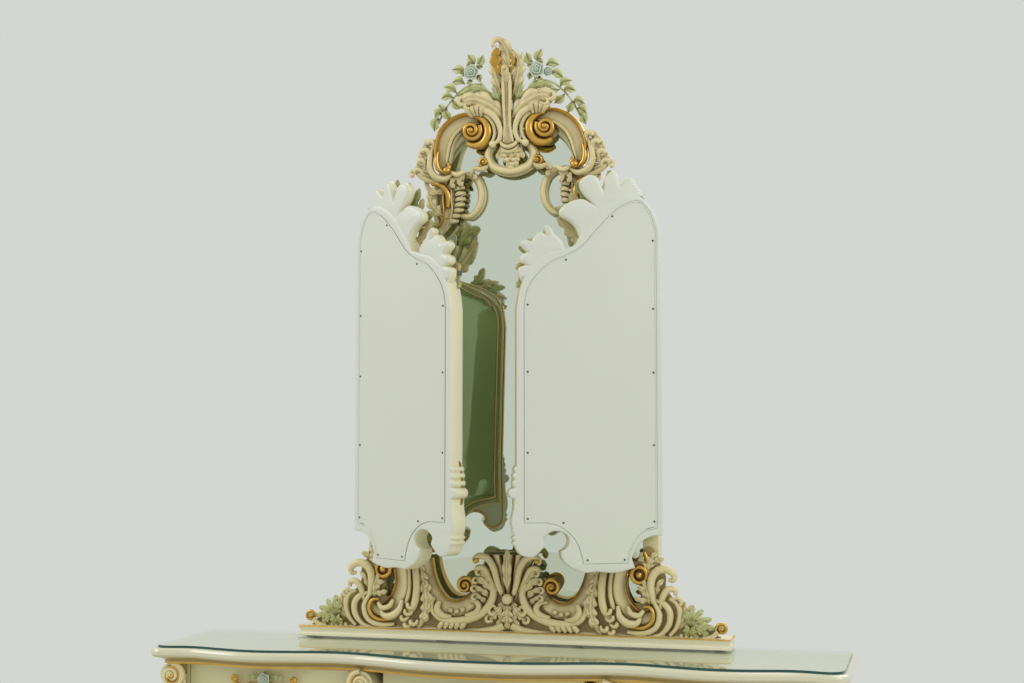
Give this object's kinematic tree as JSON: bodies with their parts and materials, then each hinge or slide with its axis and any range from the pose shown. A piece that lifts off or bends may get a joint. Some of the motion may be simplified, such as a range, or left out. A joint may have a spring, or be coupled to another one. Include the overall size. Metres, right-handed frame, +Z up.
{
  "type": "dressing table",
  "caption": "Rococo dressing table: serpentine glass-topped table with drawer pedestals on cabriole legs, fixed centre mirror and folding mirror wings, carved and gilt.",
  "frame": {"origin": "centre of the footprint on the floor", "axes": "+X to the right as seen from the front, +Y towards the wall, +Z up"},
  "size_m": [1.65, 0.41, 2.287],
  "materials": {
    "clear_glass": "polished clear glass with a green edge",
    "mirror_glass": "silvered mirror",
    "hinge_brass": "satin brass",
    "nail_steel": "dark steel",
    "felt": "dark felt",
    "gold_leaf": "gilt wood, burnished and glazed",
    "carved_gilt": "carved wood, ivory lacquer with gilt edges and brown glaze",
    "bare_wood": "plain wood",
    "white_lacquer": "semi-gloss white lacquer",
    "ivory_lacquer": "semi-gloss ivory lacquer with soft glaze"
  },
  "bodies": {
    "table": {"back_legs": "ivory_lacquer", "back_panel": "bare_wood", "base_calyx": "carved_gilt", "base_left_carving": "carved_gilt", "base_right_carving": "carved_gilt", "centre_frame": "ivory_lacquer", "centre_glass": "mirror_glass", "crest_left_scroll": "carved_gilt", "crest_plume": "carved_gilt", "crest_right_scroll": "carved_gilt", "crest_roses": "carved_gilt", "drawer_guides": "bare_wood", "dust_boards": "bare_wood", "fixed_hinge_leaves": "hinge_brass", "glass_top": "clear_glass", "grape_cartouche": "carved_gilt", "hinge_pins": "hinge_brass", "left_apron": "ivory_lacquer", "left_inner_leg": "ivory_lacquer", "left_inner_side": "ivory_lacquer", "left_outer_leg": "ivory_lacquer", "left_outer_side": "ivory_lacquer", "mirror_backboard": "bare_wood", "mirror_braces": "bare_wood", "mirror_plinth": "ivory_lacquer", "plinth_pads": "felt", "right_apron": "ivory_lacquer", "right_inner_leg": "ivory_lacquer", "right_inner_side": "ivory_lacquer", "right_outer_leg": "ivory_lacquer", "right_outer_side": "ivory_lacquer", "table_top": "ivory_lacquer", "top_bead": "gold_leaf"},
    "knee_drawer": {"knee_drawer_box": "bare_wood", "knee_drawer_front": "ivory_lacquer", "knee_drawer_pull": "carved_gilt"},
    "left_lower_drawer": {"left_lower_drawer_box": "bare_wood", "left_lower_drawer_front": "ivory_lacquer", "left_lower_drawer_pull": "carved_gilt"},
    "left_upper_drawer": {"left_upper_drawer_box": "bare_wood", "left_upper_drawer_front": "ivory_lacquer", "left_upper_drawer_pull": "carved_gilt"},
    "left_wing": {"left_wing_board": "white_lacquer", "left_wing_frame": "white_lacquer", "left_wing_glass": "mirror_glass", "left_wing_hinge_leaves": "hinge_brass", "left_wing_leaves": "white_lacquer", "left_wing_nails": "nail_steel"},
    "right_lower_drawer": {"right_lower_drawer_box": "bare_wood", "right_lower_drawer_front": "ivory_lacquer", "right_lower_drawer_pull": "carved_gilt"},
    "right_upper_drawer": {"right_upper_drawer_box": "bare_wood", "right_upper_drawer_front": "ivory_lacquer", "right_upper_drawer_pull": "carved_gilt"},
    "right_wing": {"right_wing_board": "white_lacquer", "right_wing_frame": "white_lacquer", "right_wing_glass": "mirror_glass", "right_wing_hinge_leaves": "hinge_brass", "right_wing_leaves": "white_lacquer", "right_wing_nails": "nail_steel"}
  },
  "joints": [
    {"name": "left_wing_hinge", "type": "hinge", "parent": "table", "child": "left_wing", "pos_m": [-0.373, 0.134, 1.4], "axis": [0, 0, -1], "range_deg": [-20.7, 141]},
    {"name": "right_wing_hinge", "type": "hinge", "parent": "table", "child": "right_wing", "pos_m": [0.373, 0.134, 1.4], "axis": [0, 0, 1], "range_deg": [-15.4, 146]},
    {"name": "knee_drawer_slide", "type": "slide", "parent": "table", "child": "knee_drawer", "axis": [0, -1, 0], "range_m": [0, 0.2]},
    {"name": "left_lower_drawer_slide", "type": "slide", "parent": "table", "child": "left_lower_drawer", "axis": [0, -1, 0], "range_m": [0, 0.2]},
    {"name": "left_upper_drawer_slide", "type": "slide", "parent": "table", "child": "left_upper_drawer", "axis": [0, -1, 0], "range_m": [0, 0.2]},
    {"name": "right_lower_drawer_slide", "type": "slide", "parent": "table", "child": "right_lower_drawer", "axis": [0, -1, 0], "range_m": [0, 0.2]},
    {"name": "right_upper_drawer_slide", "type": "slide", "parent": "table", "child": "right_upper_drawer", "axis": [0, -1, 0], "range_m": [0, 0.2]}
  ]
}
